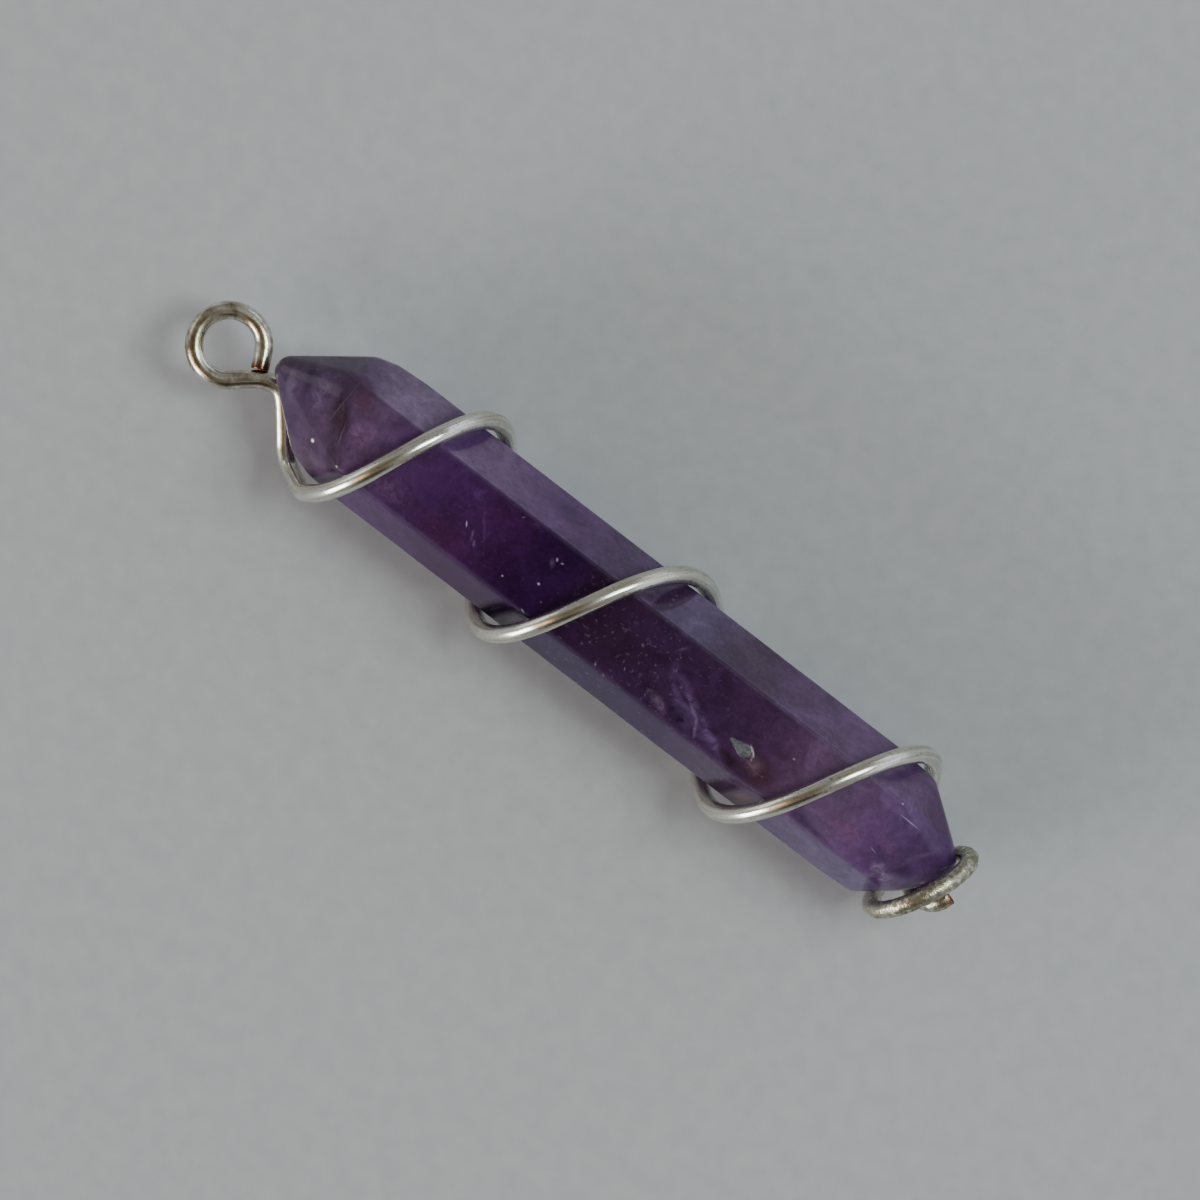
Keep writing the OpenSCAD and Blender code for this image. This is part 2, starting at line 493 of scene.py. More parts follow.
def make_amethyst_point(finishes):
    """Wraps the balls in one skin, cuts it into a fine net, and tumbles and chips it."""
    bm = bmesh.new()
    wrap_balls(bm)
    cut_net(bm)
    bmesh.ops.dissolve_degenerate(bm, dist=TOO_SHORT, edges=bm.edges[:])
    bmesh.ops.recalc_face_normals(bm, faces=bm.faces[:])
    bm.normal_update()
    for vert in bm.verts:
        p = vert.co
        swell = SWELL_HEIGHT * (noise.noise(p * SWELLS_PER_MM) - 1)
        if vert.normal.z > FACING_UP:
            swell -= chip_depth(p.x, p.y)
        vert.co = p + vert.normal * swell
    bmesh.ops.translate(bm, vec=(0, 0, -STONE_DROP), verts=bm.verts[:])
    place_piece("amethyst_point_tumbled", bm, finishes, "amethyst_point")


# Finishes

# Widths of the stone's patterns. Its polish leaves rub marks and a grain far finer than these
# last two, so both are drawn as coarse as they need to show.
GROWTH = 1.11
CLOUD = 2.22
VEIL = 1.25
MOTTLING = 0.385
DUST = 0.263
RUB_MARK = 0.625
SKIN_GRAIN = 0.286
# Widths of the wire's patterns. Drawing streaks are a few hundredths of a millimetre wide,
# too fine to show, so they are drawn as coarse as they need.
STREAK = 0.167
STREAK_RUN = 4
BLOTCH = 0.91
TARNISH_SPECK = 0.143
PIT = 0.294
COPPER_STAIN = 0.25
# Width of the card's fibres, drawn coarse enough to show
FIBRE = 1.11

# Colour of the stone along its length, as each face shows it: share of the length, and colour.
# Each face is painted in the tone it shows in this light, and the right face is painted paler and
# greyer with sheen.
UPPER_FACE = (
    (0.0, "#48394e"),
    (0.05, "#4a3755"),
    (0.09, "#4c3752"),
    (0.14, "#5c4466"),
    (0.155, "#523a5e"),
    (0.2, "#4a2d58"),
    (0.24, "#3c204c"),
    (0.3, "#3e1c4a"),
    (0.35, "#341240"),
    (0.38, "#280c38"),
    (0.42, "#250934"),
    (0.48, "#2e1634"),
    (0.56, "#321d3d"),
    (0.64, "#392043"),
    (0.7, "#3d2546"),
    (0.74, "#442b4b"),
    (0.78, "#583f5f"),
    (0.84, "#644c6f"),
    (0.9, "#583d68"),
    (0.96, "#523661"),
    (1.0, "#482e5c"),
)
# Painted sheen: the right face's tones are paler and greyer for the light that it reflects
RIGHT_FACE_WITH_SHEEN = (
    (0.0, "#48394e"),
    (0.06, "#46304e"),
    (0.1, "#5a4466"),
    (0.14, "#776282"),
    (0.2, "#6c5678"),
    (0.29, "#684f74"),
    (0.38, "#5a3f68"),
    (0.46, "#4e3a5a"),
    (0.52, "#52405f"),
    (0.58, "#5b4b6c"),
    (0.65, "#45324a"),
    (0.72, "#563f60"),
    (0.81, "#624a6e"),
    (0.9, "#63496e"),
    (0.94, "#4e3658"),
    (1.0, "#4e365c"),
)
LEFT_FACE = (
    (0.0, "#4a3b52"),
    (0.1, "#523e58"),
    (0.17, "#472756"),
    (0.3, "#340d3e"),
    (0.44, "#2a143c"),
    (0.62, "#2d1240"),
    (0.7, "#45344e"),
    (0.8, "#503e61"),
    (0.92, "#5c4f70"),
    (1.0, "#5a4868"),
)
# Offsets of the two ridges beside the upper face
RIDGE_PLACES = (1.72, -2.66)
# Offset at which the right and the left face start to show, and show fully
SIDE_FACES = ((1.68, 1.88), (-2.6, -2.78))

# Marks in the stone as seen from above.
# x, y, half length, half width, turn, softness, strength, colour
MARKS = (
    # Grey and dark growth bands under the upper tip, and the smoky plane below them
    (1.35, -0.6, 1.5, 0.35, -60, 0.8, 0.35, "#8d80a0"),
    (1.9, 0.2, 2.3, 0.38, -72, 0.9, 0.75, "#2a1c38"),
    (2.9, 0.0, 1.4, 0.5, -75, 0.9, 0.3, "#6f5d80"),
    (3.3, 2.2, 1.5, 0.6, 35, 0.9, 0.4, "#2a1a3a"),
    # Painted light: the upper pyramid's right facet lightened, as the window lights it less than
    # the middle facet
    (2.9, 1.1, 1.5, 0.5, 18, 1.0, 0.2, "#6c5278"),
    (4.4, -0.2, 2.5, 0.65, -66, 0.9, 0.9, "#2b1826"),
    # Painted shade: the upper pyramid's middle facet darkened, where the window lights it more
    (3.3, -1.6, 1.5, 0.8, -35, 1.0, 0.35, "#33203c"),
    # A painted highlight: a white glint on the ridge between two facets of the upper pyramid
    (4.05, -2.2, 0.14, 0.1, -35, 0.7, 1.0, "#ffffff"),
    (5.5, -2.3, 1.1, 0.5, -60, 0.8, 0.6, "#2b1522"),
    (4.9, 1.3, 1.2, 0.8, -50, 0.9, 0.45, "#4d2a38"),
    (4.15, 0.4, 1.5, 0.03, -92, 0.9, 0.3, "#8f7c94"),
    (5.1, -1.0, 1.0, 0.04, -73, 0.9, 0.35, "#7d6a86"),
    (5.9, -0.4, 0.9, 1.0, -20, 0.9, 0.5, "#745278"),
    (8.7, -1.8, 1.5, 0.8, -5, 1.0, 0.3, "#6e4e76"),
    # Violet above and red below at the head of the middle face
    (10.3, -0.2, 2.2, 1.3, -10, 1.0, 0.3, "#341848"),
    (12.0, -1.9, 2.6, 0.9, -5, 1.0, 0.6, "#3f1c38"),
    (8.0, 0.9, 1.4, 0.6, -25, 0.9, 0.15, "#2c1442"),
    (12.9, 1.0, 0.7, 0.5, 0, 1.0, 0.4, "#573770"),
    # Darker beyond the sloping line across the middle face
    (16.9, -1.5, 1.9, 0.8, -40, 0.7, 0.6, "#20072b"),
    # Scars and dust on the dark middle
    (13.3, -0.71, 0.2, 0.05, -55, 0.7, 0.62, "#b9a8c8"),
    (13.9, -1.0, 0.38, 0.1, -65, 1.0, 0.25, "#8f7fa2"),
    (14.25, -1.3, 0.3, 0.09, -60, 1.0, 0.2, "#8f7fa2"),
    (16.5, -1.75, 0.07, 0.06, 0, 0.6, 0.5, "#b9a8c8"),
    (18.3, -0.91, 0.1, 0.08, 0, 0.6, 0.62, "#b9a8c8"),
    (19.0, -1.6, 0.08, 0.06, 0, 0.8, 0.22, "#a597b8"),
    (18.5, -2.57, 0.16, 0.05, -20, 0.8, 0.4, "#b9a8c8"),
    (18.9, -2.84, 0.1, 0.05, 10, 0.8, 0.6, "#b9a8c8"),
    (18.3, 0.72, 0.14, 0.09, -60, 0.8, 0.46, "#b9a8c8"),
    (18.65, 0.71, 0.12, 0.07, 30, 0.8, 0.42, "#b9a8c8"),
    (18.2, 0.4, 0.35, 0.2, -60, 1.0, 0.2, "#8f7fa2"),
    (15.5, 1.42, 0.14, 0.05, 40, 0.8, 0.5, "#8a6c90"),
    (16.3, 1.52, 0.2, 0.1, 0, 1.0, 0.3, "#6c5878"),
    (14.1, -0.2, 1.6, 0.1, -53, 1.0, 0.25, "#5a4878"),
    # Plum zone with dust behind the second pass
    (24.0, -0.9, 3.0, 1.3, -3, 1.0, 0.45, "#28131f"),
    (26.5, 1.0, 0.7, 0.12, 55, 1.0, 0.25, "#6b5a7e"),
    (25.8, 0.0, 1.2, 0.6, -10, 1.0, 0.55, "#1e0c1e"),
    # The next two marks darken the outer edge of the right face
    (17.0, 3.3, 2.2, 0.5, 0, 1.0, 0.8, "#3a2450"),
    (36.3, 3.3, 1.8, 0.5, 0, 1.0, 0.7, "#452c5a"),
    (27.1, -2.0, 0.9, 0.4, -15, 1.0, 0.75, "#66506f"),
    (23.3, -2.46, 0.1, 0.05, -50, 0.8, 0.5, "#8f7fa2"),
    (24.7, -1.71, 0.12, 0.04, -60, 0.8, 0.5, "#8f7fa2"),
    (24.0, -2.66, 0.1, 0.04, -30, 0.8, 0.25, "#8f7fa2"),
    (23.7, 0.64, 0.2, 0.15, 0, 1.0, 0.4, "#6e5566"),
    # Veils, the dark oval and the brown patch of the next length
    (27.9, -1.2, 2.2, 0.3, -40, 1.0, 0.3, "#6b5584"),
    (28.4, -0.7, 2.6, 0.35, -26, 1.0, 0.3, "#6b5584"),
    (30.2, -1.8, 1.6, 0.5, -14, 1.0, 0.3, "#675080"),
    (30.6, -1.9, 1.6, 0.3, -30, 1.0, 0.3, "#6b5480"),
    (28.6, -1.8, 1.0, 0.6, -10, 0.9, 0.4, "#6f5a88"),
    (28.9, -1.2, 0.9, 0.14, -33, 1.0, 0.5, "#7c6890"),
    (29.6, -1.9, 0.7, 0.14, -62, 1.0, 0.45, "#7c6890"),
    (28.4, -1.9, 0.95, 0.55, -12, 0.9, 0.9, "#1e0e2a"),
    (26.5, -1.78, 0.8, 0.4, -10, 0.9, 0.5, "#1d0e1e"),
    (29.7, 1.0, 1.0, 0.5, -20, 0.9, 0.5, "#21101f"),
    (29.6, 3.0, 1.6, 0.5, 0, 1.0, 0.5, "#564a55"),
    (31.1, 2.1, 1.1, 0.6, 0, 1.0, 0.45, "#4a3d4a"),
    (33.0, 1.8, 1.8, 0.3, 3, 1.0, 0.35, "#6d5586"),
    (33.8, -1.8, 1.4, 1.0, -25, 0.9, 0.75, "#372022"),
    (32.1, -2.1, 0.9, 0.45, -10, 0.9, 0.75, "#22111a"),
    (33.3, -1.6, 0.7, 0.6, 0, 1.0, 0.45, "#71586c"),
    (34.2, -0.1, 1.2, 0.5, 0, 1.0, 0.5, "#2a1634"),
    (34.0, -1.81, 0.07, 0.05, 0, 0.6, 0.5, "#7a5a52"),
    (33.5, -2.94, 0.07, 0.05, 0, 0.6, 0.5, "#7a5a52"),
    (35.1, -1.8, 0.07, 0.05, 0, 0.6, 0.5, "#7a5a52"),
    (34.8, -0.02, 0.1, 0.07, 0, 0.6, 0.6, "#907c8c"),
    # Pink clouds, scratches and shade of the lower end, and a painted highlight on its shoulder
    (35.9, 1.0, 1.5, 0.6, 0, 1.0, 0.12, "#765c7e"),
    (36.9, -2.3, 0.9, 0.45, 0, 1.0, 0.8, "#35204a"),
    (37.9, -1.0, 0.8, 0.6, 0, 1.0, 0.35, "#44284e"),
    (42.3, -2.0, 0.9, 0.5, 0, 1.0, 0.75, "#806a8e"),
    (40.6, 1.1, 1.2, 0.4, 0, 1.0, 0.2, "#7e6690"),
    (39.2, -1.3, 1.4, 0.7, -10, 1.0, 0.45, "#6c4068"),
    (41.7, -0.7, 1.2, 0.6, -20, 1.0, 0.4, "#6c4472"),
    (38.4, -2.5, 1.6, 0.25, -6, 0.9, 0.5, "#2a1440"),
    (40.3, 3.0, 1.1, 0.4, 20, 1.0, 0.5, "#2a1230"),
    (41.2, 1.75, 0.8, 0.5, -30, 1.0, 0.35, "#6b5280"),
    (43.3, 0.6, 1.3, 0.5, -35, 1.0, 0.5, "#3f2854"),
    # Painted highlight: a pale line where the overhead light glints on the lower shoulder
    (41.7, 1.09, 0.75, 0.05, -2, 0.8, 0.58, "#a79cc8"),
    (41.1, -1.29, 0.25, 0.04, -14, 0.8, 0.5, "#8c7aa8"),
    (43.4, -1.3, 0.8, 0.45, -30, 1.0, 0.5, "#2a1648"),
    (42.5, -2.2, 0.5, 0.08, 40, 0.9, 0.5, "#8a78a0"),
)
# Height of the marks' middles above the axis, and their half height
MARK_LEVEL = (2.6, 2.2)

# Painted reflections and shadow of the wire in the polished side faces beside each pass, with two
# paler patches that lighten the face next to them
PAINTED_WIRE_REFLECTIONS = (
    (10.6, 2.9, 1.7, 0.45, 58, 0.35, 0.8, "#4e3060"),
    (24.55, 2.95, 1.5, 0.5, 62, 0.35, 0.85, "#361e3c"),
    (40.0, 2.9, 1.3, 0.4, 58, 0.7, 0.45, "#4c3460"),
    (17.75, -3.35, 1.6, 0.5, 24, 0.4, 0.95, "#12081a"),
    (33.0, -3.5, 1.6, 0.42, 20, 0.5, 0.75, "#2e1a2a"),
    (18.6, -3.3, 0.7, 0.4, 35, 0.8, 0.6, "#7a5080"),
    (34.2, -3.4, 0.9, 0.45, 20, 0.8, 0.6, "#8a6278"),
    (4.9, -3.5, 1.2, 0.3, -28, 0.7, 0.5, "#3a2838"),
)
# Height of their middles above the axis, and their half height
PAINTED_REFLECTION_LEVEL = (1.6, 6)

# Bowl and tail of the chip: x, y, half length, half width, turn
CHIP_BOWLS = (
    (32.42, -1.28, 0.5, 0.42, 15),
    (32.1, -1.24, 0.46, 0.29, 5),
    (31.8, -1.2, 0.42, 0.16, 0),
)
# Pale lip round the end of the chip
CHIP_LIP = (
    (32.72, -0.96, 0.32, 0.09, -35, 1.0, 0.7, "#a39ca6"),
    (32.98, -1.3, 0.3, 0.1, -75, 1.0, 0.7, "#a39ca6"),
)
# Height of the chip's middle above the axis, and its half height
CHIP_LEVEL = (3.4, 1.2)
# A mark's rim as a share of its half sizes, and the least softness at which it breaks up
MARK_RIM = 1.15
BROKEN_SOFTNESS = 0.9
# A mark with a greater half width than this wanders as the stone's growth did
GROWN_HALF_WIDTH = 0.25
# Places along the stone at which the dust under its polish starts, is thick, thins and ends
DUSTY = (19.5, 21.5, 27.5, 30.5)
# The same of the worn ridges of the prism, and half the width of their wear
WORN_RIDGES = (6.5, 8.0, 39.5, 40.5)
RIDGE_HALF_WIDTH = 0.2
# Places along the stone between which the wire turns dull at the foot, and loses its stain
# beyond the eye
FOOT_DULLS = (41.5, 43.5)
EYE_CLEARS = (-0.8, 2.5)
# Lengths of quite brown and of somewhat brown wire beside the cuts at the eye and the foot
EYE_BROWNED = (0.15, 0.6)
FOOT_BROWNED = (0.1, 0.7)


def place_in_mm(tree, start):
    """Each point's own place in millimetres, counted from a start."""
    own = add(tree, "ShaderNodeTexCoord").outputs["Object"]
    return add(
        tree,
        "ShaderNodeMapping",
        {"Vector": own, "Scale": (1 / MM, 1 / MM, 1 / MM), "Location": tuple(-start)},
    ).outputs[0]


def most(tree, values):
    """The greatest of some values."""
    top = values[0]
    for value in values[1:]:
        top = add(tree, "ShaderNodeMath", {0: top, 1: value}, operation="MAXIMUM").outputs[0]
    return top


def band(tree, value, start, full, over, end):
    """Share that rises from start to full and falls again from over to end."""
    rise = add(
        tree,
        "ShaderNodeMapRange",
        {0: value, 1: start, 2: full},
        interpolation_type="SMOOTHSTEP",
    ).outputs[0]
    fall = add(
        tree,
        "ShaderNodeMapRange",
        {0: value, 1: over, 2: end, 3: 1.0, 4: 0.0},
        interpolation_type="SMOOTHSTEP",
    ).outputs[0]
    return add(tree, "ShaderNodeMath", {0: rise, 1: fall}, operation="MULTIPLY").outputs[0]


def reach_from(tree, spot, middle, half_sizes, turn):
    """Distance of each place from a mark's middle, as a share of the mark's half sizes."""
    local = add(
        tree,
        "ShaderNodeMapping",
        {
            "Vector": spot,
            "Location": middle,
            "Rotation": (0, 0, math.radians(turn)),
            "Scale": half_sizes,
        },
        vector_type="TEXTURE",
    ).outputs[0]
    return add(tree, "ShaderNodeVectorMath", {0: local}, operation="LENGTH").outputs["Value"]


def paint_mark(tree, spot, mottle, under, row, level=MARK_LEVEL):
    """Lays one mark over the colour under it. A soft mark is broken up by the mottle."""
    x, y, half_length, half_width, turn, softness, strength, shade = row
    height, half_height = level
    reach = reach_from(tree, spot, (x, y, height), (half_length, half_width, half_height), turn)
    cover = add(
        tree,
        "ShaderNodeMapRange",
        {0: reach, 1: MARK_RIM - softness, 2: MARK_RIM, 3: strength, 4: 0.0},
        interpolation_type="SMOOTHSTEP",
    ).outputs[0]
    if softness >= BROKEN_SOFTNESS:
        cover = add(tree, "ShaderNodeMath", {0: cover, 1: mottle}, operation="MULTIPLY").outputs[0]
    return add(
        tree, "ShaderNodeMix", {0: cover, 6: under, 7: colour(shade)}, data_type="RGBA"
    ).outputs[2]


def chip_cover(tree, spot, mottle):
    """Share of each place that the chip covers: a round bowl that runs out to a point."""
    height, half_height = CHIP_LEVEL
    covers = []
    for x, y, half_length, half_width, turn in CHIP_BOWLS:
        reach = reach_from(
            tree, spot, (x, y, height), (half_length, half_width, half_height), turn
        )
        ragged = add(
            tree, "ShaderNodeMath", {0: mottle, 1: 0.18, 2: reach}, operation="MULTIPLY_ADD"
        ).outputs[0]
        covers.append(
            add(
                tree, "ShaderNodeMapRange", {0: ragged, 1: 0.95, 2: 1.2, 3: 0.9, 4: 0.0}
            ).outputs[0]
        )
    return most(tree, covers)


def wandering_place(tree, spot):
    """Each place moved by up to a third of a millimetre, as uneven growth moved the colours."""
    drift = add(tree, "ShaderNodeTexNoise", {"Vector": spot, "Scale": 1 / GROWTH, "Detail": 3.0})
    wander = add(
        tree,
        "ShaderNodeVectorMath",
        {0: drift.outputs["Color"], 1: (0.5, 0.5, 0.5)},
        operation="SUBTRACT",
    ).outputs[0]
    return add(
        tree,
        "ShaderNodeVectorMath",
        {0: wander, 1: (0.7, 0.7, 0.7), 2: spot},
        operation="MULTIPLY_ADD",
    ).outputs[0]


def violet_body(tree, warped, along, across):
    """Violet of the stone: each face's zones, painted as the face looks in this light with sheen on
    the right face, and clouds and thin pale veils in them.
    """
    share = add(tree, "ShaderNodeMath", {0: along, 1: STONE_LEN}, operation="DIVIDE").outputs[0]
    body, *sides = (
        add(tree, "ShaderNodeValToRGB", {0: share}, stops=zones).outputs[0]
        for zones in (UPPER_FACE, RIGHT_FACE_WITH_SHEEN, LEFT_FACE)
    )
    # The side faces lie over the upper one in their painted tones, the right one with painted sheen
    for (edge, full), side in zip(SIDE_FACES, sides):
        shown = add(
            tree,
            "ShaderNodeMapRange",
            {0: across, 1: edge, 2: full},
            interpolation_type="SMOOTHSTEP",
        ).outputs[0]
        body = add(tree, "ShaderNodeMix", {0: shown, 6: body, 7: side}, data_type="RGBA").outputs[2]
    clouds = add(
        tree,
        "ShaderNodeTexNoise",
        {"Vector": warped, "Scale": 1 / CLOUD, "Detail": 5.0, "Roughness": 0.6, "Distortion": 0.8},
    ).outputs[0]
    cloudy = add(
        tree, "ShaderNodeMapRange", {0: clouds, 1: 0.35, 2: 0.7, 3: 0.72, 4: 1.22}
    ).outputs[0]
    body = add(
        tree,
        "ShaderNodeMix",
        {0: 1.0, 6: body, 7: cloudy},
        data_type="RGBA",
        blend_type="MULTIPLY",
    ).outputs[2]
    veils = add(
        tree,
        "ShaderNodeTexNoise",
        {"Vector": warped, "Scale": 1 / VEIL, "Detail": 4.0, "Roughness": 0.6, "Distortion": 1.6},
        noise_type="RIDGED_MULTIFRACTAL",
    ).outputs[0]
    veiled = add(
        tree, "ShaderNodeMapRange", {0: veils, 1: 0.9, 2: 1.9, 3: 0.0, 4: 0.22}
    ).outputs[0]
    return add(
        tree,
        "ShaderNodeMix",
        {0: veiled, 6: body, 7: colour("#6b5690")},
        data_type="RGBA",
    ).outputs[2]


def dust_cover(tree, spot, along):
    """Share covered by dust under the polish, in specks a tenth of a millimetre wide."""
    dust = add(
        tree,
        "ShaderNodeTexNoise",
        {"Vector": spot, "Scale": 1 / DUST, "Detail": 2.0, "Roughness": 0.6},
    ).outputs[0]
    dots = add(
        tree, "ShaderNodeMapRange", {0: dust, 1: 0.6, 2: 0.76, 3: 0.0, 4: 0.4}
    ).outputs[0]
    dusty = add(
        tree,
        "ShaderNodeMapRange",
        {0: band(tree, along, *DUSTY), 3: 0.2, 4: 1.0},
    ).outputs[0]
    return add(tree, "ShaderNodeMath", {0: dots, 1: dusty}, operation="MULTIPLY").outputs[0]


def polish(tree, spot, along, across, chip):
    """Roughness of the skin: faint rub marks, duller worn ridges and the bare chip."""
    rub = add(
        tree,
        "ShaderNodeTexNoise",
        {"Vector": spot, "Scale": 1 / RUB_MARK, "Detail": 5.0, "Roughness": 0.65},
    ).outputs[0]
    gloss = add(
        tree, "ShaderNodeMapRange", {0: rub, 1: 0.3, 2: 0.7, 3: 0.1, 4: 0.2}
    ).outputs[0]
    ridges = most(
        tree,
        [
            band(tree, across, y - RIDGE_HALF_WIDTH, y, y, y + RIDGE_HALF_WIDTH)
            for y in RIDGE_PLACES
        ],
    )
    prism = band(tree, along, *WORN_RIDGES)
    dulled = add(tree, "ShaderNodeMath", {0: ridges, 1: prism}, operation="MULTIPLY").outputs[0]
    gloss = add(
        tree, "ShaderNodeMix", {0: dulled, 2: gloss, 3: 0.3}, data_type="FLOAT"
    ).outputs[0]
    return add(tree, "ShaderNodeMix", {0: chip, 2: gloss, 3: 0.7}, data_type="FLOAT").outputs[0]


def tumbled_amethyst():
    """Natural quartz, tumbled and polished.

    It gives a glassy skin over a deep cloudy violet body with growth bands, veils and dust.
    """
    material, tree, shader = new_finish("amethyst_tumbled_polished")
    spot = place_in_mm(tree, UPPER_TIP)
    across = add(tree, "ShaderNodeSeparateXYZ", {0: spot}).outputs[1]
    warped = wandering_place(tree, spot)
    along = add(tree, "ShaderNodeSeparateXYZ", {0: warped}).outputs[0]
    body = violet_body(tree, warped, along, across)
    # Mottling a third of a millimetre wide breaks up the soft marks
    speckle = add(
        tree,
        "ShaderNodeTexNoise",
        {
            "Vector": warped,
            "Scale": 1 / MOTTLING,
            "Detail": 5.0,
            "Roughness": 0.7,
            "Distortion": 0.5,
        },
    ).outputs[0]
    mottle = add(
        tree, "ShaderNodeMapRange", {0: speckle, 1: 0.35, 2: 0.65, 3: 0.35, 4: 1.35}
    ).outputs[0]
    for row in MARKS:
        body = paint_mark(tree, warped if row[3] > GROWN_HALF_WIDTH else spot, mottle, body, row)
    # Painted reflections and shadow of the wire in the side faces
    for row in PAINTED_WIRE_REFLECTIONS:
        body = paint_mark(tree, spot, mottle, body, row, PAINTED_REFLECTION_LEVEL)
    fine = add(
        tree, "ShaderNodeMapRange", {0: speckle, 1: 0.3, 2: 0.7, 3: 0.78, 4: 1.22}
    ).outputs[0]
    body = add(
        tree,
        "ShaderNodeMix",
        {0: 1.0, 6: body, 7: fine},
        data_type="RGBA",
        blend_type="MULTIPLY",
    ).outputs[2]
    dust = dust_cover(tree, spot, along)
    body = add(
        tree, "ShaderNodeMix", {0: dust, 6: body, 7: colour("#776688")}, data_type="RGBA"
    ).outputs[2]
    # The chip is bare broken quartz, frosted and grey, with a pale lip at its round end
    chip = chip_cover(tree, spot, mottle)
    frost = add(
        tree,
        "ShaderNodeValToRGB",
        {0: speckle},
        stops=[(0.36, "#433c4a"), (0.5, "#585960"), (0.64, "#7a7c81")],
    ).outputs[0]
    body = add(
        tree, "ShaderNodeMix", {0: chip, 6: body, 7: frost}, data_type="RGBA"
    ).outputs[2]
    for row in CHIP_LIP:
        body = paint_mark(tree, spot, mottle, body, row)
    tree.links.new(body, shader.inputs["Base Color"])
    tree.links.new(polish(tree, spot, along, across, chip), shader.inputs["Roughness"])
    grain = add(
        tree,
        "ShaderNodeTexNoise",
        {"Vector": spot, "Scale": 1 / SKIN_GRAIN, "Detail": 4.0, "Roughness": 0.6},
    ).outputs[0]
    skin = add(
        tree,
        "ShaderNodeBump",
        {"Height": grain, "Strength": 0.25, "Distance": 0.02 * MM},
    )
    tree.links.new(skin.outputs[0], shader.inputs["Normal"])
    # Quartz, with a skin so finely rubbed that it reflects less than a perfect polish
    shader.inputs["IOR"].default_value = 1.544
    shader.inputs["Specular IOR Level"].default_value = 0.26
    return material


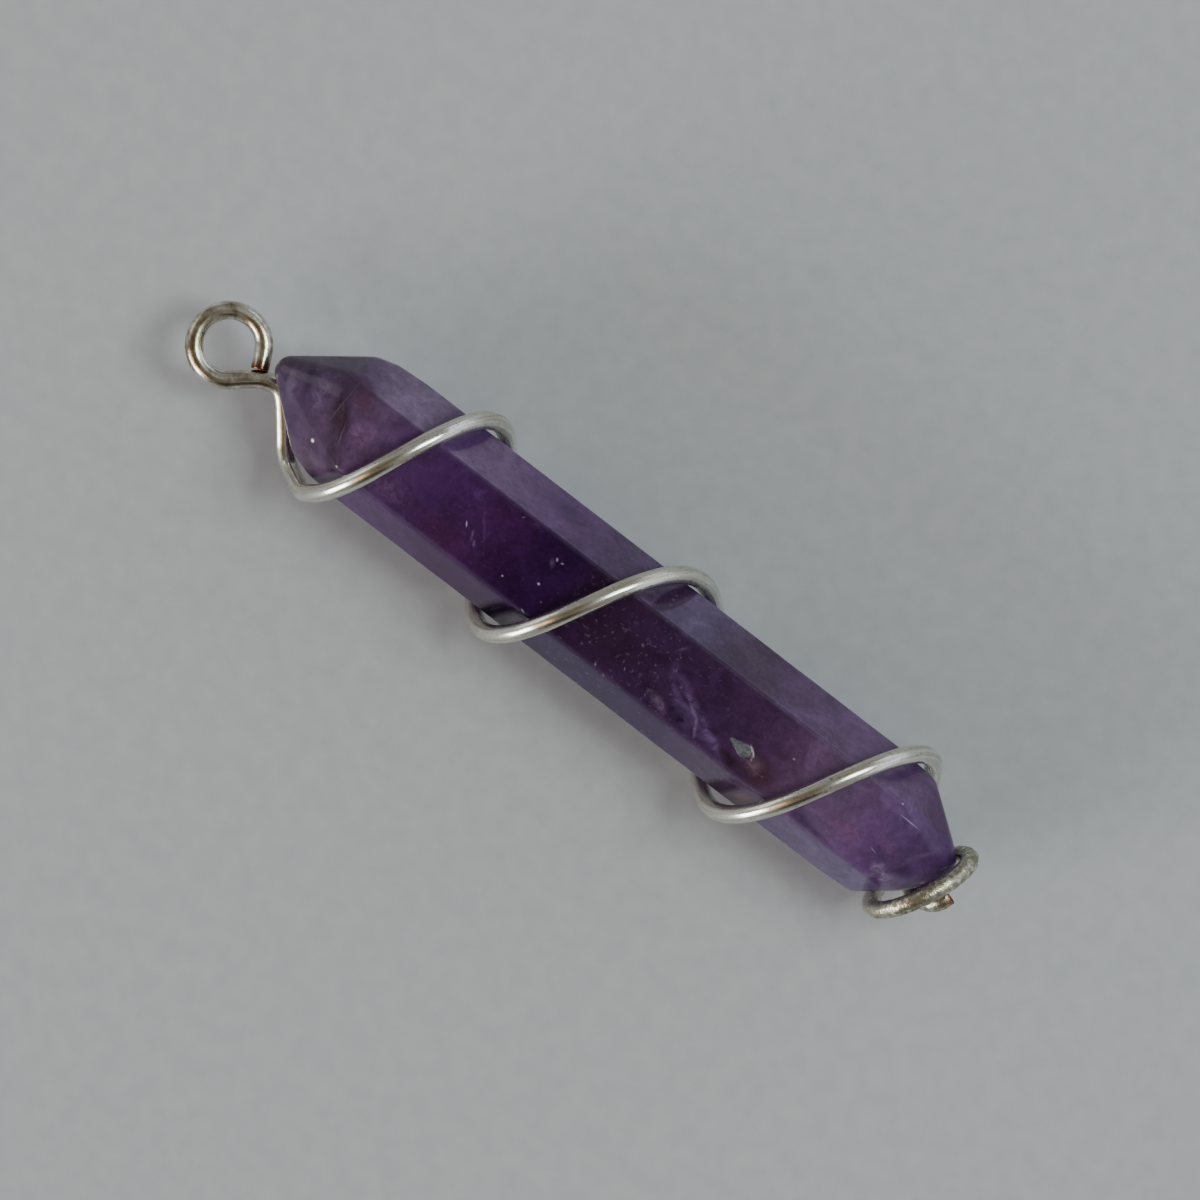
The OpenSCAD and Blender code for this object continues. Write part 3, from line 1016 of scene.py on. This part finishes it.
def plated_wire():
    """Copper wire, silver plated and drawn.

    It is bright and smooth along the cage, stained brown at the eye, and dull and pitted at
    the foot.
    """
    material, tree, shader = new_finish("silver_plate_on_drawn_wire")
    spot = place_in_mm(tree, UPPER_TIP)
    along = add(tree, "ShaderNodeSeparateXYZ", {0: spot}).outputs[0]
    straight = add(tree, "ShaderNodeAttribute", attribute_name="straight").outputs["Vector"]
    run = add(tree, "ShaderNodeSeparateXYZ", {0: straight}).outputs[0]
    start, full = FOOT_DULLS
    worn = add(
        tree, "ShaderNodeMapRange", {0: along, 1: start, 2: full, 3: 0.0, 4: 1.0}
    ).outputs[0]
    start, full = EYE_CLEARS
    stained = add(
        tree, "ShaderNodeMapRange", {0: along, 1: start, 2: full, 3: 1.0, 4: 0.2}
    ).outputs[0]
    # Drawing streaks run along the wire
    streaks = add(
        tree,
        "ShaderNodeMapping",
        {"Vector": straight, "Scale": (1 / STREAK_RUN, 1 / STREAK, 1 / STREAK)},
    ).outputs[0]
    lines = add(
        tree,
        "ShaderNodeTexNoise",
        {"Vector": streaks, "Scale": 1.0, "Detail": 5.0, "Roughness": 0.6},
    ).outputs[0]
    plate = add(
        tree,
        "ShaderNodeValToRGB",
        {0: lines},
        stops=[(0.34, "#c8c0aa"), (0.5, "#e6e4da"), (0.62, "#f6f7f2")],
    ).outputs[0]
    # Brown film in blotches about a millimetre wide
    blotches = add(
        tree,
        "ShaderNodeTexNoise",
        {
            "Vector": spot,
            "Scale": 1 / BLOTCH,
            "Detail": 5.0,
            "Roughness": 0.65,
            "Distortion": 0.6,
        },
    ).outputs[0]
    film = add(
        tree, "ShaderNodeMapRange", {0: blotches, 1: 0.4, 2: 0.64, 3: 0.0, 4: 0.85}
    ).outputs[0]
    film = add(tree, "ShaderNodeMath", {0: film, 1: stained}, operation="MULTIPLY").outputs[0]
    plate = add(
        tree, "ShaderNodeMix", {0: film, 6: plate, 7: colour("#7c693c")}, data_type="RGBA"
    ).outputs[2]
    # Tarnish specks, a tenth of a millimetre wide
    specks = add(
        tree,
        "ShaderNodeTexNoise",
        {"Vector": spot, "Scale": 1 / TARNISH_SPECK, "Detail": 2.0, "Roughness": 0.5},
    ).outputs[0]
    speckled = add(
        tree, "ShaderNodeMapRange", {0: specks, 1: 0.62, 2: 0.7, 3: 0.0, 4: 0.6}
    ).outputs[0]
    plate = add(
        tree, "ShaderNodeMix", {0: speckled, 6: plate, 7: colour("#6b5f4c")}, data_type="RGBA"
    ).outputs[2]
    # Dull pitted plate of the foot
    pitting = add(
        tree,
        "ShaderNodeTexNoise",
        {"Vector": spot, "Scale": 1 / PIT, "Detail": 4.0, "Roughness": 0.7},
    ).outputs[0]
    dull = add(
        tree,
        "ShaderNodeValToRGB",
        {0: pitting},
        stops=[(0.31, "#5c5340"), (0.38, "#8c8772"), (0.52, "#b2ae9a"), (0.64, "#ece9da")],
    ).outputs[0]
    plate = add(
        tree, "ShaderNodeMix", {0: worn, 6: plate, 7: dull}, data_type="RGBA"
    ).outputs[2]
    # The plate is browned beside both cuts
    brown, faint = EYE_BROWNED
    at_eye = add(
        tree, "ShaderNodeMapRange", {0: run, 1: brown, 2: faint, 3: 0.9, 4: 0.0}
    ).outputs[0]
    length = wire_runs(wire_route())[-1]
    brown, faint = FOOT_BROWNED
    at_foot = add(
        tree,
        "ShaderNodeMapRange",
        {0: run, 1: length - faint, 2: length - brown, 3: 0.0, 4: 0.8},
    ).outputs[0]
    browned = most(tree, (at_eye, at_foot))
    plate = add(
        tree, "ShaderNodeMix", {0: browned, 6: plate, 7: colour("#7a4a28")}, data_type="RGBA"
    ).outputs[2]
    tree.links.new(plate, shader.inputs["Base Color"])
    shader.inputs["Metallic"].default_value = 1.0
    smooth = add(
        tree, "ShaderNodeMapRange", {0: lines, 1: 0.35, 2: 0.65, 3: 0.29, 4: 0.17}
    ).outputs[0]
    rough = add(
        tree, "ShaderNodeMapRange", {0: pitting, 1: 0.36, 2: 0.62, 3: 0.42, 4: 0.22}
    ).outputs[0]
    rough = add(
        tree, "ShaderNodeMix", {0: worn, 2: smooth, 3: rough}, data_type="FLOAT"
    ).outputs[0]
    tree.links.new(rough, shader.inputs["Roughness"])
    height = add(
        tree, "ShaderNodeMix", {0: worn, 2: lines, 3: pitting}, data_type="FLOAT"
    ).outputs[0]
    depth = add(tree, "ShaderNodeMapRange", {0: worn, 3: 0.2, 4: 1.0}).outputs[0]
    skin = add(
        tree,
        "ShaderNodeBump",
        {"Height": height, "Strength": depth, "Distance": 0.05 * MM},
    )
    tree.links.new(skin.outputs[0], shader.inputs["Normal"])
    return material


def cut_copper():
    """Copper core bared by the cutter at both ends and browned by the air, so dull and dark."""
    material, tree, shader = new_finish("copper_core_cut_and_browned")
    spot = place_in_mm(tree, Vector((0, 0, 0)))
    stain = add(
        tree,
        "ShaderNodeTexNoise",
        {"Vector": spot, "Scale": 1 / COPPER_STAIN, "Detail": 4.0, "Roughness": 0.6},
    ).outputs[0]
    brown = add(
        tree,
        "ShaderNodeValToRGB",
        {0: stain},
        stops=[(0.35, "#3d1f14"), (0.55, "#8a4a30"), (0.7, "#b06a48")],
    ).outputs[0]
    tree.links.new(brown, shader.inputs["Base Color"])
    shader.inputs["Metallic"].default_value = 1.0
    rough = add(
        tree, "ShaderNodeMapRange", {0: stain, 1: 0.3, 2: 0.7, 3: 0.55, 4: 0.3}
    ).outputs[0]
    tree.links.new(rough, shader.inputs["Roughness"])
    return material


def pale_card():
    """Matt card of pressed fibres, pale and faintly cool, with next to no gloss."""
    material, tree, shader = new_finish("pale_grey_card")
    place = add(tree, "ShaderNodeTexCoord")
    fibre = add(
        tree,
        "ShaderNodeTexNoise",
        {"Vector": place.outputs["Object"], "Scale": 1 / (FIBRE * MM), "Detail": 3.0},
    ).outputs[0]
    tone = add(
        tree,
        "ShaderNodeValToRGB",
        {0: fibre},
        stops=[(0.3, "#b1b3ba"), (0.7, "#b9bbc1")],
    ).outputs[0]
    tree.links.new(tone, shader.inputs["Base Color"])
    shader.inputs["Roughness"].default_value = 0.8
    shader.inputs["Specular IOR Level"].default_value = 0.2
    return material


# Stage

# Half the width of the floor, and how far the lights stand from the pendant, in metres
FLOOR_HALF = 3
LIGHT_DISTANCE = 0.6
# Soft boxes: name, azimuth, elevation, width and height as angles, brightness and tint
LIGHTS = (
    ("window", -117, 15, 29, 25, 11.5, "#ffffff"),
    ("window_haze", -170, 15, 30, 26, 1.0, "#fbf8ec"),
    ("warm_edge", -114, 42, 28, 14, 2.0, "#eab464"),
    ("overhead_side", 42, 57, 22, 25, 9.6, "#f2fff5"),
    ("pale_wall", 50, 18, 96, 34, 0.85, "#e6edff"),
)
# Room, and its dark places that the wire mirrors: azimuth, elevation, angles at which each
# one starts and is full, and colour
ROOM = "#8a8987"
DARK_PLACES = (
    (-118, 68, 34, 14, "#675a42"),
    (-58, 33, 26, 12, "#2c251c"),
)
# Width of the picture at the pendant, and how far the camera stands from it
PICTURE_WIDTH = 64.2
CAMERA_DISTANCE = 1200
# What the camera looks at, counted from the pendant's own middle, and how it is turned
CAMERA_AIM = Vector((0.76, 0.5, 4.8))
CAMERA_TURN = math.radians(37.55)
SENSOR_WIDTH = 36


def direction(azimuth, elevation):
    """Direction to a place that is given by its azimuth and elevation."""
    a, e = math.radians(azimuth), math.radians(elevation)
    return Vector((math.cos(a) * math.cos(e), math.sin(a) * math.cos(e), math.sin(e)))


def soft_light(name, azimuth, elevation, width, height, brightness, tint):
    """A soft box that faces the pendant. brightness is about what a mirror would show of it."""
    away = direction(azimuth, elevation)
    box = bpy.data.lights.new(name, "AREA")
    box.shape = "RECTANGLE"
    box.size = 2 * LIGHT_DISTANCE * math.tan(math.radians(width / 2))
    box.size_y = 2 * LIGHT_DISTANCE * math.tan(math.radians(height / 2))
    box.energy = brightness * math.pi * box.size * box.size_y
    box.color = colour(tint)[:3]
    lamp = bpy.data.objects.new(name, box)
    lamp.location = away * LIGHT_DISTANCE
    lamp.rotation_euler = away.to_track_quat("Z", "Y").to_euler()
    lamp.visible_camera = False
    bpy.context.scene.collection.objects.link(lamp)


def lay_floor():
    """Lays the pendant on a sheet of card."""
    ground = bmesh.new()
    bmesh.ops.create_grid(ground, x_segments=1, y_segments=1, size=FLOOR_HALF)
    mesh = bpy.data.meshes.new("floor")
    ground.to_mesh(mesh)
    ground.free()
    mesh.materials.append(pale_card())
    floor = bpy.data.objects.new("floor", mesh)
    bpy.context.scene.collection.objects.link(floor)
    floor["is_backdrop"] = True


def set_room():
    """Grey room with two dark places, which the polished wire mirrors."""
    room = bpy.data.worlds.new("dim_room")
    room.use_nodes = True
    tree = room.node_tree
    looking = add(tree, "ShaderNodeTexCoord").outputs["Generated"]
    shade = colour(ROOM)
    for azimuth, elevation, outer, inner, dark in DARK_PLACES:
        near = add(
            tree,
            "ShaderNodeVectorMath",
            {0: looking, 1: direction(azimuth, elevation)},
            operation="DOT_PRODUCT",
        ).outputs["Value"]
        share = add(
            tree,
            "ShaderNodeMapRange",
            {0: near, 1: math.cos(math.radians(outer)), 2: math.cos(math.radians(inner))},
            interpolation_type="SMOOTHSTEP",
        ).outputs[0]
        shade = add(
            tree, "ShaderNodeMix", {0: share, 6: shade, 7: colour(dark)}, data_type="RGBA"
        ).outputs[2]
    tree.links.new(shade, tree.nodes["Background"].inputs["Color"])
    bpy.context.scene.world = room


def set_camera():
    """Looks straight down, turned so that the pendant lies as in the photograph."""
    lens = bpy.data.cameras.new("camera")
    lens.sensor_width = SENSOR_WIDTH
    lens.lens = SENSOR_WIDTH * CAMERA_DISTANCE / PICTURE_WIDTH
    lens.clip_start, lens.clip_end = 0.1, 10
    camera = bpy.data.objects.new("camera", lens)
    camera.location = (CAMERA_AIM + Vector((0, 0, CAMERA_DISTANCE))) * MM
    camera.rotation_euler = (0, 0, CAMERA_TURN)
    bpy.context.scene.collection.objects.link(camera)
    bpy.context.scene.camera = camera


set_camera()
lay_floor()
set_room()
for light in LIGHTS:
    soft_light(*light)
make_wire_cage([plated_wire(), cut_copper()])
make_amethyst_point([tumbled_amethyst()])

boxes = {"cad": cad_box, "visual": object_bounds()}
{name: [list(corner) for corner in box] for name, box in boxes.items()}
